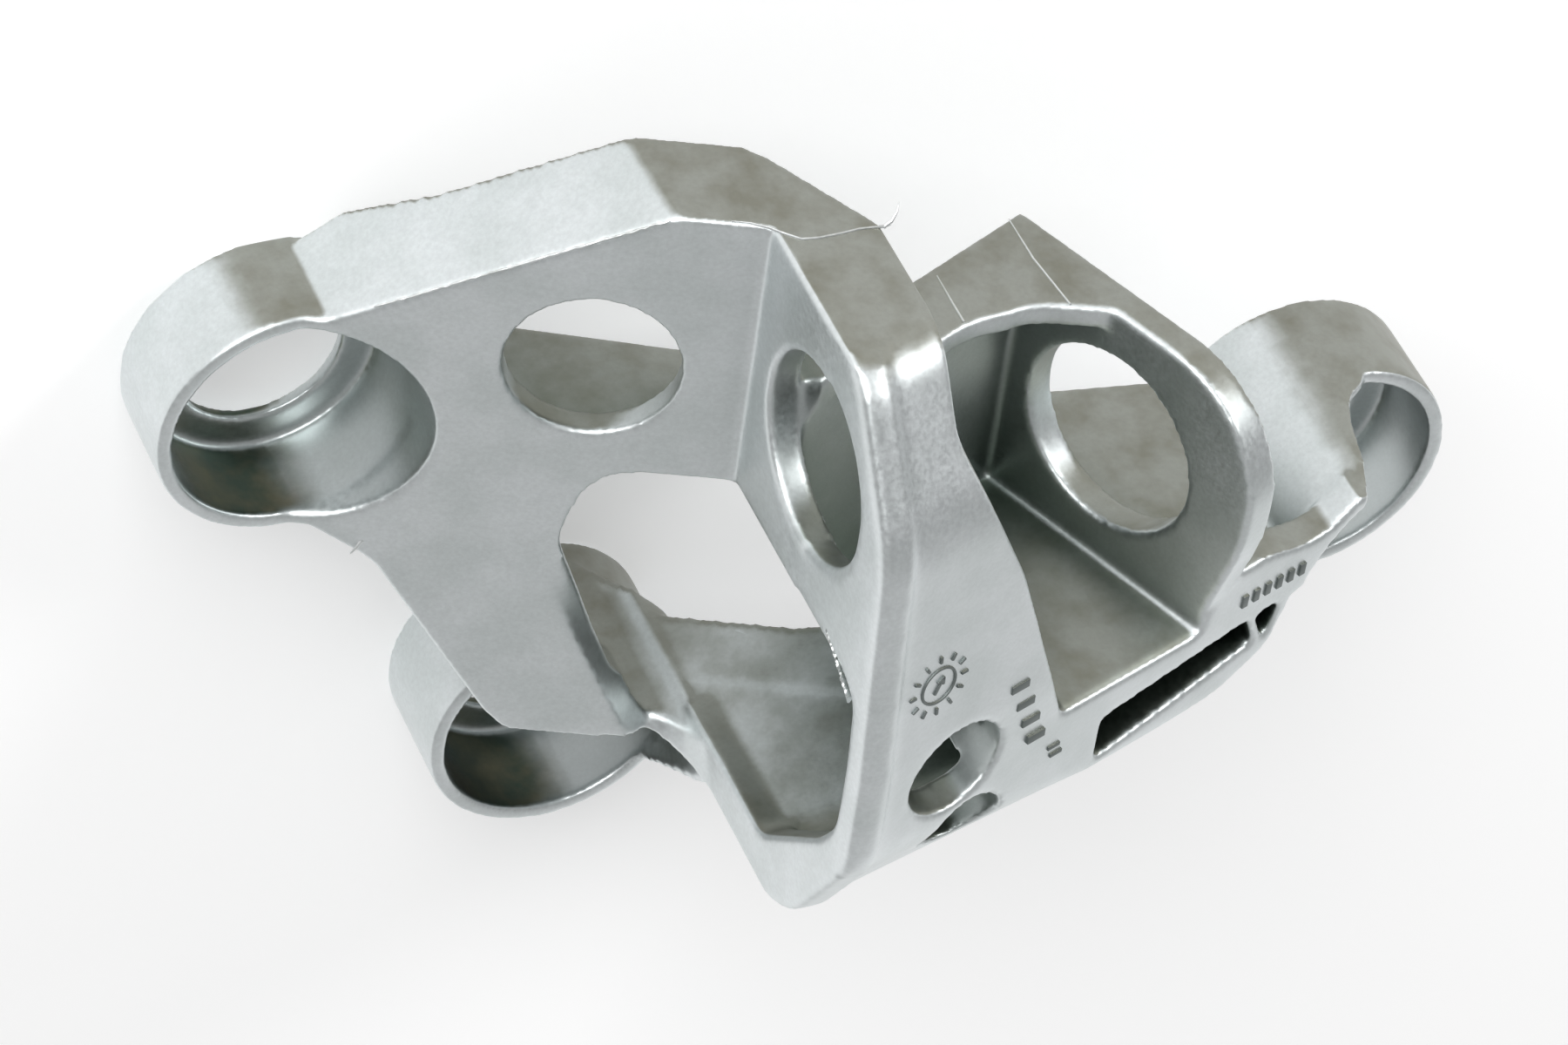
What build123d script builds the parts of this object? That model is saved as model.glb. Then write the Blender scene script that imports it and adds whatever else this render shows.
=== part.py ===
from build123d import *
import math
import os

# Gearshift cable bracket, one aluminium die casting, millimetres.
# Origin: on the axis of the first mounting boss, at the far face with the lip.
# Z runs along the mounting bosses toward the cable holders, X along the cables.

# Mounting bosses: three plain tubes with an inner lip at the far end
boss_diameter = 28.0
bore_diameter = 24.6
lip_hole_diameter = 17.0
lip_thickness = 1.5
bore_relief = 0.2

boss_a_x = 0.0
boss_a_y = 0.0
boss_a_level = 0.0
boss_a_length = 11.7

boss_b_x = 32.1
boss_b_y = -52.7
boss_b_level = -1.5
boss_b_length = 13.2

boss_c_x = 109.2
boss_c_y = -24.0
boss_c_level = 14.0
boss_c_length = 11.7

# Sloping face plate that carries the first two bosses
plate_slope = 23.5
plate_thickness = 3.2
plate_hole_diameter = 17.2
plate_hole_x = 25.5
plate_hole_y = 10.9
skirt_thickness = 3.0
skirt_depth = 12.3
facet_x = 31.2
facet_y = 31.0
plate_foot_x = 20.4
plate_foot_y = -40.4
band_turn = 8.42

# First cable holder: upright plate with its hole
holder_x = 39.3
holder_thickness = 3.5
cable_hole_diameter = 20.8
holder_hole_y = 14.2
holder_hole_z = 43.2
clearance_step = 0.4
clearance_depth = 2.0
holder_top_z = 62.8
shoulder_z = 49.6
shoulder_round = 7.0
brow_y = 16.5
brow_z = 60.4
brow_round = 14.0
crown_y = -12.0
outer_wall_y = -43.6
outer_knee_z = 51.0
outer_knee_round = 14.5
outer_brow_y = -23.1
outer_brow_round = 10.0
post_width = 5.3

# Window between the plates
window_side_y = -2.8
window_top_round = 5.0
window_left_x = 24.4
window_foot_y = -39.4
bevel_fall = 0.8
bevel_reach = 10.0

# Hood: the strap that runs back from the first holder along the roof
roof_fall = 0.33
roof_thickness = 4.0
cup_wall = 4.3
cup_depth = 10.2
hood_edge_y = 22.4
hood_mid_x = 57.8
hood_mid_y = 4.7
hood_end_x = 65.4
relief_holes = [(51.8, -16.8, 11.0), (54.8, -27.8, 9.0)]

# Beam that runs on to the third boss
side_wall_y = -17.75
side_wall_thickness = 3.5
beam_start_x = 71.0
beam_outer_y = -31.4
beam_wall = 3.4
beam_tip_gap = 12.2
slot_rib_thickness = 1.2
slot_depth = 24.0
web_foot = 11.5
bead_height = 9.6
bead_rise = 0.4

# Second cable holder: leaning plate with flange and floor
saddle_x = 77.2
saddle_y = -2.7
saddle_z = 33.6
saddle_thickness = 3.8
saddle_half_width = 16.0
saddle_top = 18.3
saddle_round = 13.2
floor_drop = 13.5
floor_thickness = 4.3
flange_thickness = 2.6
flange_rise = 3.6

# Values that follow from those above
boss_radius = boss_diameter / 2
bore_radius = bore_diameter / 2
slope = math.radians(plate_slope)
rise = math.tan(slope)
plate_level = boss_a_level + boss_a_length
band_start = (
    boss_a_x + boss_radius * math.sin(math.radians(band_turn)),
    boss_a_y + boss_radius * math.cos(math.radians(band_turn)),
)
holder_rear_x = holder_x + holder_thickness
shoulder_y = facet_y
beam_end_x = boss_c_x - beam_tip_gap
web_foot_far = boss_c_level
boss_a_rim = boss_a_level + boss_a_length
boss_b_rim = boss_b_level + boss_b_length
boss_c_rim = boss_c_level + boss_c_length
floor_drop_low = floor_drop + floor_thickness
reach = 90.0


def outline(points, radii):
    """Closed face with a rounding at each corner."""
    return make_face(FilletPolyline(*points, radius=radii, close=True))


def upright(points, radii, low, high):
    """Plan outline raised between two levels."""
    return extrude(Plane.XY.offset(low) * outline(points, radii), high - low)


def endwise(points, radii, start, finish):
    """Outline in Y and Z, run along X."""
    return extrude(Plane.YZ.offset(start) * outline(points, radii), finish - start)


def sideways(points, radii, low_y, high_y):
    """Outline in X and Z, run along Y."""
    return extrude(Plane.XZ.offset(-high_y) * outline(points, radii), high_y - low_y)


def round_bar(x, y, low, high, radius):
    """Upright cylinder between two levels."""
    return Pos(x, y, (low + high) / 2) * Cylinder(radius, high - low)


def plate_height(x):
    """Level of the face plate's upper side."""
    return plate_level + rise * x


def roof_height(x):
    """Level of the roof."""
    return holder_top_z - roof_fall * (x - holder_x)


def below_plate(upper, lower):
    """Sloping layer under the face plate's upper side."""
    ends = (-30.0, 60.0)
    points = [
        (ends[0], plate_height(ends[0]) - upper),
        (ends[1], plate_height(ends[1]) - upper),
        (ends[1], plate_height(ends[1]) - lower),
        (ends[0], plate_height(ends[0]) - lower),
    ]
    return sideways(points, [0, 0, 0, 0], -reach, reach)


def below_roof(upper, lower, start, finish):
    """Sloping layer under the roof plane."""
    points = [
        (start, roof_height(start) - upper),
        (finish, roof_height(finish) - upper),
        (finish, roof_height(finish) - lower),
        (start, roof_height(start) - lower),
    ]
    return sideways(points, [0, 0, 0, 0], -reach, reach)


# Face plate and its skirt
plate_drop = plate_thickness / math.cos(slope)
plate_points = [
    (-2.0, 13.0),
    band_start,
    (facet_x, facet_y),
    (holder_rear_x, facet_y),
    (holder_rear_x, plate_foot_y - 5.8),
    (holder_x - 2.3, plate_foot_y - 4.6),
    (holder_x - 6.7, plate_foot_y),
    (plate_foot_x + 1.2, plate_foot_y),
    (plate_foot_x - 0.8, plate_foot_y + 2.2),
    (8.0, -17.9),
    (1.0, -13.2),
    (-2.0, -13.0),
]
plate_radii = [0, 0, 3.0, 0, 0, 5.0, 4.0, 2.0, 2.0, 6.0, 0, 0]
plate_face = outline(plate_points, plate_radii) + Circle(boss_radius)
plate_column = extrude(plate_face, 60)
ring_face = plate_face - offset(plate_face, amount=-skirt_thickness)
skirt_column = extrude(Plane.XY.offset(-10) * ring_face, 70)
face_plate = plate_column & below_plate(0, plate_drop)
skirt = skirt_column & sideways(
    [
        (-30.0, boss_a_level + 0.8),
        (7.5, boss_a_level + 1.4),
        (15.1, plate_height(15.1) - skirt_depth),
        (60.0, plate_height(60.0) - skirt_depth),
        (60.0, plate_height(60.0)),
        (-30.0, plate_height(-30.0)),
    ],
    [0, 0, 0, 0, 0, 0], -reach, reach)
skirt_end = holder_x + 1.9
skirt = skirt & upright(
    [(-20, -50), (skirt_end, -50), (skirt_end, 40), (-20, 40)],
    [0, 0, 0, 0], boss_a_level + 0.8, 80)

# Window through the face plate
window_plan = outline(
    [
        (holder_rear_x + 3, window_side_y),
        (27.0, window_side_y),
        (window_left_x, -12.5),
        (31.7, window_foot_y + 7.0),
        (holder_x, window_foot_y),
        (holder_rear_x + 3, window_foot_y),
    ],
    [0, 5.6, 6.0, 5.0, 0, 0],
)
window_through_plate = extrude(Plane.XY.offset(-10) * window_plan, 70)
face_plate = face_plate - window_through_plate
skirt = skirt - window_through_plate

# First holder plate, its outline seen along the cable
holder_outline = [
    (shoulder_y, 5.0),
    (shoulder_y, shoulder_z),
    (brow_y, brow_z),
    (crown_y, holder_top_z),
    (outer_brow_y, holder_top_z),
    (outer_wall_y, outer_knee_z),
    (outer_wall_y, 5.0),
]
holder_radii = [0, shoulder_round, brow_round, 20.0, outer_brow_round, outer_knee_round, 0]
holder_slab = endwise(holder_outline, holder_radii, holder_x, holder_rear_x)
holder_low = sideways(
    [
        (holder_x, plate_height(holder_x) - plate_drop),
        (holder_rear_x, plate_height(holder_x) - plate_drop),
        (holder_rear_x, 70),
        (holder_x, 70),
    ],
    [0, 0, 0, 0], -reach, reach)
holder_plate = holder_slab & holder_low

window_end = endwise(
    [
        (window_side_y, 0.0),
        (window_side_y, holder_top_z - 3.7),
        (window_foot_y + 17.0, holder_top_z - 3.7),
        (window_foot_y + 2.1, holder_top_z - 18.6),
        (window_foot_y + 2.1, 34.0),
        (window_foot_y + 1.8, 12.0),
        (window_foot_y + 1.8, 0.0),
    ],
    [0, window_top_round, 8.0, 4.5, 6.0, 0, 0], holder_x - 3, holder_rear_x + 1)

# Hood: the holder outline carried back along the roof, its outer side drawn in to the beam
beam_drop = roof_fall * (beam_start_x - holder_x)
shell_foot = 5.0
hood_start = Plane.YZ.offset(holder_x) * outline(
    [
        (shoulder_y, shell_foot),
        (shoulder_y, shoulder_z),
        (brow_y, brow_z),
        (crown_y, holder_top_z),
        (outer_brow_y, holder_top_z),
        (outer_wall_y, outer_knee_z),
        (outer_wall_y, shell_foot),
    ],
    [0, shoulder_round, brow_round, 20.0, outer_brow_round, outer_knee_round, 0])
hood_finish_points = [
    (shoulder_y, shell_foot),
    (shoulder_y, shoulder_z - beam_drop),
    (brow_y, brow_z - beam_drop),
    (crown_y, holder_top_z - beam_drop),
    (beam_outer_y + 2.2, holder_top_z - beam_drop),
    (beam_outer_y, holder_top_z - beam_drop - 1.8),
    (beam_outer_y, shell_foot),
]
hood_finish_face = outline(
    hood_finish_points, [0, shoulder_round, brow_round, 20.0, 1.4, 1.4, 0])
hood_full = loft([hood_start, Plane.YZ.offset(beam_start_x) * hood_finish_face], ruled=True)
core_start = Plane.YZ.offset(holder_x) * outline(
    [
        (shoulder_y - cup_wall, -10.0),
        (shoulder_y - cup_wall, shoulder_z - 2.2),
        (brow_y - 1.6, brow_z - cup_wall),
        (crown_y, holder_top_z - roof_thickness),
        (outer_brow_y + 2.2, holder_top_z - roof_thickness),
        (outer_wall_y + post_width, outer_knee_z - 3.0),
        (outer_wall_y + post_width, -10.0),
    ],
    [0, shoulder_round - 2.5, brow_round - 4.0, 20.0, outer_brow_round - 2.0, 9.0, 0])
core_finish = Plane.YZ.offset(beam_start_x) * outline(
    [
        (shoulder_y - cup_wall, -10.0),
        (shoulder_y - cup_wall, shoulder_z - beam_drop - 2.2),
        (brow_y - 1.6, brow_z - beam_drop - cup_wall),
        (crown_y, holder_top_z - beam_drop - roof_thickness),
        (beam_outer_y + beam_wall + 1.8, holder_top_z - beam_drop - roof_thickness),
        (beam_outer_y + beam_wall, holder_top_z - beam_drop - roof_thickness - 1.6),
        (beam_outer_y + beam_wall, -10.0),
    ],
    [0, shoulder_round - 2.5, brow_round - 4.0, 20.0, 1.2, 1.2, 0])
hood_core = loft([core_start, core_finish], ruled=True)
hood = hood_full - hood_core
hood_plan = upright(
    [
        (holder_x, shoulder_y + 3.0),
        (holder_x + cup_depth, shoulder_y + 3.0),
        (holder_x + cup_depth, hood_edge_y),
        (hood_mid_x, hood_mid_y),
        (hood_end_x, side_wall_y),
        (beam_start_x, side_wall_y),
        (beam_start_x, outer_wall_y - 3.0),
        (holder_x, outer_wall_y - 3.0),
    ],
    [0, 0, 6.0, 20.0, 0, 0, 0, 0], 0, 80)
cup_foot = sideways(
    [
        (holder_x, 16.6),
        (41.2, 17.4),
        (43.0, 19.6),
        (holder_x + cup_depth, 31.0),
        (beam_start_x, 31.0),
        (beam_start_x, 80.0),
        (holder_x, 80.0),
    ],
    [0, 0, 3.0, 0, 0, 0, 0], 0, reach)
arch = sideways(
    [
        (holder_x, 11.0),
        (54.1, 22.9),
        (beam_start_x, 24.5),
        (beam_start_x, 80.0),
        (holder_x, 80.0),
    ],
    [0, 9.0, 0, 0, 0], -reach, 0)
hood = hood & hood_plan & (cup_foot + arch)
bead = upright(
    [
        (holder_x + 1.0, outer_wall_y + post_width - 1.0),
        (holder_x + 1.0, outer_wall_y + post_width + bead_rise),
        (beam_start_x, beam_outer_y + beam_wall + bead_rise),
        (beam_start_x, beam_outer_y + beam_wall - 1.0),
    ],
    [0, 0, 0, 0], 0, 60)
bead = bead & arch & sideways(
    [
        (holder_x, 9.0),
        (54.1, 21.0),
        (beam_start_x, 22.0),
        (beam_start_x, 24.5 + bead_height),
        (54.1, 22.9 + bead_height),
        (holder_x, 11.0 + bead_height),
    ],
    [0, 0, 0, 0, 9.0, 0], -reach, 0)

# Side wall: starts under the face plate, passes the holder and runs on to the third boss
web_start_x = 12.5
web_points = [
    (web_start_x, 0.3),
    (43.6, 0.3),
    (51.9, side_wall_y),
    (beam_end_x, side_wall_y),
    (beam_end_x, side_wall_y - side_wall_thickness),
    (49.8, side_wall_y - side_wall_thickness),
    (41.5, -2.7),
    (web_start_x, -2.7),
]
web_column = upright(web_points, [0, 1.5, 3.0, 0, 0, 3.0, 1.5, 0], -10, 80)
web_shape = sideways(
    [
        (web_start_x, boss_a_level + 0.8),
        (17.5, boss_a_level + 0.8),
        (40.0, 12.3),
        (60.0, web_foot),
        (82.0, web_foot),
        (beam_end_x, web_foot_far),
        (beam_end_x, roof_height(beam_end_x) - 2.0),
        (holder_x + 0.5, roof_height(holder_x) - 2.0),
        (holder_x + 0.5, plate_height(holder_x) - 1.0),
        (web_start_x, plate_height(web_start_x) - 1.0),
    ],
    [0, 0, 0, 0, 0, 0, 0, 0, 0, 0], -reach, reach)
web = web_column & web_shape

# Beam with its slot
beam_plan = [
    (beam_start_x, side_wall_y),
    (beam_end_x, side_wall_y),
    (beam_end_x - 1.0, beam_outer_y + 11.4),
    (beam_end_x - 3.2, beam_outer_y + 5.4),
    (beam_end_x - 9.0, beam_outer_y + 2.4),
    (beam_start_x, beam_outer_y),
]
beam_run = 28.0
beam_bar = extrude(
    Plane.YZ.offset(beam_start_x) * hood_finish_face,
    beam_run * math.sqrt(1 + roof_fall ** 2), dir=(1.0, 0.0, -roof_fall))
beam_block = upright(beam_plan, [0, 0, 0, 3.0, 6.0, 0], 0, 80) & beam_bar
beam_side = sideways(
    [
        (beam_start_x - 1.0, 24.5),
        (80.0, 23.0),
        (beam_end_x, web_foot_far),
        (beam_end_x, roof_height(beam_end_x)),
        (beam_start_x - 1.0, roof_height(beam_start_x - 1.0)),
    ],
    [0, 12.0, 0, 0, 0], -reach, reach)
beam = beam_block & beam_side
slot_top = upright(
    [
        (beam_start_x + 0.4, beam_outer_y + 8.9),
        (beam_end_x - 7.0, beam_outer_y + 11.2),
        (beam_end_x - 5.6, beam_outer_y + 7.4),
        (beam_end_x - 15.5, beam_outer_y + 5.2),
        (beam_start_x + 0.4, beam_outer_y + 3.1),
    ],
    [0.6, 0.5, 0.5, 8.0, 0.6], roof_height(80.0) - slot_depth, 80)
slot_tip = upright(
    [
        (beam_end_x - 7.0 + slot_rib_thickness, beam_outer_y + 11.2),
        (beam_end_x - 2.8, beam_outer_y + 11.4),
        (beam_end_x - 3.6, beam_outer_y + 7.6),
        (beam_end_x - 5.6 + slot_rib_thickness, beam_outer_y + 7.6),
    ],
    [0, 0, 0, 0], roof_height(92.0) - 12.0, 80)
beam = beam - slot_top - slot_tip
tie = upright(
    [
        (boss_c_x - 25.2, boss_c_y - 6.0),
        (boss_c_x - 18.2, boss_c_y - 7.0),
        (boss_c_x - 8.7, boss_c_y - 11.4),
        (boss_c_x - 6.2, boss_c_y - 2.0),
        (boss_c_x - 12.2, boss_c_y + 5.5),
        (boss_c_x - 25.2, boss_c_y + 5.5),
    ],
    [0, 0, 0, 0, 0, 0], boss_c_level, boss_c_rim - 1.5)
tie = tie - upright(
    [
        (boss_c_x - 25.2, boss_c_y + 2.3),
        (boss_c_x - 25.2, boss_c_y - 3.0),
        (boss_c_x - 16.2, boss_c_y - 3.5),
        (boss_c_x - 12.2, boss_c_y),
        (boss_c_x - 15.2, boss_c_y + 2.3),
    ],
    [0, 0, 0, 0, 0], 0, boss_c_level + 7.5)

# Roof strip between the second holder and the third boss
strip_start_x = boss_c_x - 26.2
strip_column = upright(
    [
        (strip_start_x, side_wall_y),
        (boss_c_x - 23.2, boss_c_y + 12.4),
        (boss_c_x - 18.0, boss_c_y + 12.5),
        (boss_c_x - 12.8, boss_c_y + 10.9),
        (boss_c_x - 9.4, boss_c_y + 11.1),
        (boss_c_x - 5.8, boss_c_y + 13.4),
        (boss_c_x - 5.0, boss_c_y + 12.1),
        (boss_c_x - 6.6, boss_c_y + 11.7),
        (boss_c_x - 9.0, boss_c_y + 9.4),
        (boss_c_x - 10.9, boss_c_y + 7.5),
        (boss_c_x - 13.9, side_wall_y - 1.25),
        (boss_c_x - 21.2, side_wall_y - 1.75),
        (strip_start_x, side_wall_y - 1.75),
    ],
    [0, 0, 4.0, 8.0, 3.0, 0, 0, 0, 0, 0, 0, 0, 0], 0, 80)
strip = strip_column & below_roof(0, roof_thickness, strip_start_x - 3.0, boss_c_x + 1.0)

# Second holder: leaning plate, floor and low flange, all on one leaning plane
lean = Plane(
    origin=(saddle_x, saddle_y, saddle_z),
    x_dir=(0, 1, 0),
    z_dir=(math.cos(slope), 0, -math.sin(slope)),
)
wall_side = side_wall_y - saddle_y
saddle_face = outline(
    [
        (wall_side - 2.0, -floor_drop_low),
        (saddle_half_width, -floor_drop_low),
        (saddle_half_width, saddle_top),
        (-2.0, saddle_top),
        (wall_side - 2.0, 14.4),
    ],
    [0, 0, saddle_round, 25.0, 0])
saddle = extrude(lean * saddle_face, saddle_thickness)
floor_face = outline(
    [
        (wall_side - 2.0, -floor_drop_low),
        (saddle_half_width, -floor_drop_low),
        (saddle_half_width, -floor_drop),
        (wall_side - 2.0, -floor_drop),
    ],
    [0, 0, 0, 0])
floor = extrude(lean * floor_face, -45.0)
floor_plan = upright(
    [
        (holder_rear_x - 0.5, 20.0),
        (80.0, 20.0),
        (80.0, side_wall_y - 1.0),
        (50.9, side_wall_y - 1.0),
        (42.9, -1.2),
        (holder_rear_x - 0.5, -1.2),
    ],
    [0, 0, 0, 0, 0, 0], 0, 80)
floor = floor & floor_plan
flange_plane = Plane(
    origin=lean.from_local_coords((saddle_half_width, 0, 0)),
    x_dir=(-math.cos(slope), 0, math.sin(slope)),
    z_dir=(0, 1, 0),
)
flange_face = outline(
    [
        (-saddle_thickness, -floor_drop_low),
        (45.0, -floor_drop_low),
        (45.0, -floor_drop),
        (27.0, -floor_drop),
        (23.0, -floor_drop + flange_rise),
        (12.5, -floor_drop + flange_rise),
        (5.2, -7.3),
        (0.0, -2.0),
        (-saddle_thickness, -2.0),
    ],
    [0, 0, 0, 3.0, 3.0, 10.0, 8.0, 0, 0])
flange = extrude(flange_plane * flange_face, -flange_thickness)
flange = flange & floor_plan

# Bosses
boss_a = round_bar(boss_a_x, boss_a_y, boss_a_level, boss_a_level + boss_a_length, boss_radius)
boss_b = round_bar(boss_b_x, boss_b_y, boss_b_level, boss_b_level + boss_b_length, boss_radius)
boss_c = round_bar(boss_c_x, boss_c_y, boss_c_level, boss_c_level + boss_c_length, boss_radius)
boss_a_rise = round_bar(boss_a_x, boss_a_y, boss_a_level, 40.0, boss_radius) & below_plate(0, 60)
boss_a_rise = boss_a_rise & upright([(0, -20), (20, -20), (20, 20), (0, 20)], [0, 0, 0, 0], 0, 60)

riser_b = round_bar(boss_b_x, boss_b_y, boss_b_rim, 60.0, boss_radius)
riser_b_ring = riser_b - round_bar(boss_b_x, boss_b_y, 0.0, 70.0, bore_radius)
riser_b_near = riser_b_ring & below_plate(0.6, 60) & plate_column & upright(
    [
        (boss_b_x - 22.1, boss_b_y + 4.7),
        (boss_b_x, boss_b_y + 4.7),
        (boss_b_x, boss_b_y + 32.7),
        (boss_b_x - 22.1, boss_b_y + 32.7),
    ],
    [0, 0, 0, 0], 0, 60)
pad_b = upright(
    [
        (boss_b_x - 10.6, boss_b_y + 13.1),
        (boss_b_x - 3.6, boss_b_y + 12.4),
        (boss_b_x - 2.6, boss_b_y + 14.7),
        (boss_b_x - 7.1, boss_b_y + 18.2),
        (boss_b_x - 11.8, boss_b_y + 17.2),
    ],
    [0, 0, 0, 0, 0], boss_b_rim - 7.0, 60.0) & below_plate(1.0, 60) & plate_column
riser_b_far = riser_b_ring & endwise(
    [
        (boss_b_y - 8.9, boss_b_rim),
        (boss_b_y - 8.0, boss_b_rim + 0.1),
        (boss_b_y - 3.1, 21.0),
        (boss_b_y + 5.2, 28.5),
        (boss_b_y + 9.0, 36.0),
        (boss_b_y + 12.5, 36.0),
        (boss_b_y + 14.1, 29.0),
        (boss_b_y + 18.7, 29.0),
        (boss_b_y + 18.7, boss_b_rim),
    ],
    [0, 0, 6.0, 6.0, 0, 0, 0, 0, 0], boss_b_x - 0.1, boss_b_x + 20)
plate_guard = upright(
    [
        (boss_b_x - 12.1, boss_b_y - 17.3),
        (holder_x, boss_b_y - 17.3),
        (holder_x, boss_b_y + 22.7),
        (boss_b_x - 12.1, boss_b_y + 22.7),
    ],
    [0, 0, 0, 0], 0, 60) - below_plate(0.6, 80)
riser_b_far = riser_b_far - plate_guard

# Post that carries the tube's wall up to the corner of the window, with a gutter over it
post_face = make_face(Polyline(
    (boss_b_x - 0.8, boss_b_y + 13.9),
    (boss_b_x + 3.4, boss_b_y + 13.6),
    (boss_b_x + 5.4, boss_b_y + 13.8),
    (holder_x - 0.3, boss_b_y + 14.3),
    (holder_x + 0.9, window_foot_y + 1.7),
    (holder_rear_x, outer_wall_y + post_width),
    (holder_rear_x, outer_wall_y),
    (boss_b_x - 3.2, boss_b_y + 6.7),
    close=True))
post = extrude(Plane.XY.offset(boss_b_level) * post_face, 60)
post = post & sideways(
    [
        (boss_b_x - 4.0, boss_b_level + 0.6),
        (boss_b_x + 2.0, boss_b_level + 1.4),
        (boss_b_x + 5.0, boss_b_level + 4.0),
        (holder_x + 0.9, boss_b_level + 9.5),
        (holder_rear_x, boss_b_level + 13.5),
        (holder_rear_x, 60.0),
        (boss_b_x - 4.0, 60.0),
    ],
    [0, 6.0, 3.0, 3.0, 0, 0, 0], -reach, 0)
gutter_near = make_face(Polyline(
    (boss_b_x - 4.0, plate_height(boss_b_x - 4.0) - 0.1),
    (boss_b_x + 0.2, plate_height(boss_b_x + 0.2) - 0.1),
    (boss_b_x + 3.5, 23.0),
    (boss_b_x + 5.0, 24.8),
    (holder_x - 1.0, 27.4),
    (holder_x, 30.9),
    (holder_x, 36.0),
    (holder_rear_x, 36.0),
    (holder_rear_x, -10.0),
    (boss_b_x - 4.0, -10.0),
    close=True))
gutter_far = make_face(Polyline(
    (boss_b_x - 4.0, plate_height(boss_b_x - 4.0) - 0.1),
    (boss_b_x + 1.3, plate_height(boss_b_x + 1.3) - 0.1),
    (boss_b_x + 2.9, plate_height(boss_b_x + 2.9) - 0.2),
    (boss_b_x + 4.8, 29.1),
    (holder_x - 0.9, 31.3),
    (holder_x, 34.4),
    (holder_x, 38.0),
    (holder_rear_x, 38.0),
    (holder_rear_x, -10.0),
    (boss_b_x - 4.0, -10.0),
    close=True))
gutter = loft([
    Plane.XZ.offset(-(window_foot_y + 2.0)) * gutter_near,
    Plane.XZ.offset(-(outer_wall_y - 2.0)) * gutter_far,
], ruled=True)
post = post & gutter
post = post - round_bar(boss_b_x, boss_b_y, -10.0, 70.0, bore_radius)

# Bevel that rolls off the face plate along the window, deeper toward the post
ridge_top = Vector(22.6, -16.4, plate_height(22.6))
ridge_foot = Vector(33.1, -40.6, plate_height(33.1))
ridge_way = (ridge_foot - ridge_top).normalized()
ridge_side = Vector(-ridge_way.Y, ridge_way.X, 0).normalized()
bevel_sections = []
for distance, fall in ((-1.0, -0.36), (5.0, 0.1), (12.0, bevel_fall), (24.5, bevel_fall), (31.0, 0.2)):
    section_plane = Plane(
        origin=ridge_top + ridge_way * distance, x_dir=ridge_side, z_dir=ridge_way)
    bevel_sections.append(section_plane * make_face(Polyline(
        (0, 0), (bevel_reach, 8.0), (bevel_reach, -bevel_reach * fall), close=True)))
plate_side = face_plate + riser_b_near + pad_b
for near_end, far_end in zip(bevel_sections, bevel_sections[1:]):
    stretch = loft([near_end, far_end], ruled=True)
    plate_side = plate_side - stretch
    skirt = skirt - stretch
    riser_b_far = riser_b_far - stretch
plate_side = plate_side + post

riser_c = round_bar(boss_c_x, boss_c_y, boss_c_rim, 60.0, boss_radius)
riser_c = riser_c & below_roof(0, 60, 80, 130) & sideways(
    [
        (boss_c_x - 15.2, boss_c_rim),
        (boss_c_x + 2.3, boss_c_rim),
        (boss_c_x + 1.3, boss_c_rim + 1.3),
        (boss_c_x - 0.8, boss_c_rim + 2.8),
        (boss_c_x - 2.0, boss_c_rim + 5.7),
        (boss_c_x - 3.3, boss_c_rim + 11.3),
        (boss_c_x - 4.9, boss_c_rim + 15.7),
        (boss_c_x - 6.0, boss_c_rim + 17.3),
        (boss_c_x - 15.2, boss_c_rim + 21.3),
    ],
    [0, 0, 0.8, 0.8, 3.0, 0, 0, 0, 0], boss_c_y + 4.2, boss_c_y + 19.0)

# One solid
body = plate_side + skirt
body = body + boss_a + boss_a_rise
body = body + holder_plate
body = body - window_end
body = body + hood + bead
body = body + web + beam + tie + strip
body = body + saddle + floor + flange
body = body + boss_b + riser_b_far
body = body + boss_c + riser_c

# Bores and lips, with the as-cast relief above each rim
for x, y, level, rim in (
    (boss_a_x, boss_a_y, boss_a_level, boss_a_rim),
    (boss_b_x, boss_b_y, boss_b_level, boss_b_rim),
    (boss_c_x, boss_c_y, boss_c_level, boss_c_rim),
):
    body = body - round_bar(x, y, level + lip_thickness, rim, bore_radius)
    body = body - round_bar(x, y, rim, 70.0, bore_radius + bore_relief)
    body = body - round_bar(x, y, level - 1.0, level + lip_thickness + 1.0, lip_hole_diameter / 2)

# Holes
plate_hole_z = plate_height(plate_hole_x)
plate_axis = Plane(
    origin=(plate_hole_x, plate_hole_y, plate_hole_z),
    z_dir=(-math.sin(slope), 0, math.cos(slope)),
)
body = body - plate_axis * Cylinder(plate_hole_diameter / 2, 3 * plate_thickness)
holder_hole = Pos(holder_x + holder_thickness / 2, holder_hole_y, holder_hole_z) * (
    Rot(0, 90, 0) * Cylinder(cable_hole_diameter / 2, holder_thickness))
hole_clearance = Pos(holder_rear_x + clearance_depth / 2, holder_hole_y, holder_hole_z) * (
    Rot(0, 90, 0) * Cylinder(cable_hole_diameter / 2 + clearance_step, clearance_depth))
body = body - holder_hole - hole_clearance
body = body - lean * Cylinder(cable_hole_diameter / 2, 4 * saddle_thickness)
for x, y, size in relief_holes:
    body = body - Pos(x, y, roof_height(x)) * Cylinder(size / 2, 22)

os.makedirs("parts", exist_ok=True)
export_step(body, "parts/cable_bracket.step")
print("solids", len(body.solids()), "volume", round(body.volume), "box", body.bounding_box())
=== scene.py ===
import logging
import math
import random
from dataclasses import dataclass
from enum import Enum

import bpy
from mathutils import Matrix, Vector


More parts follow.
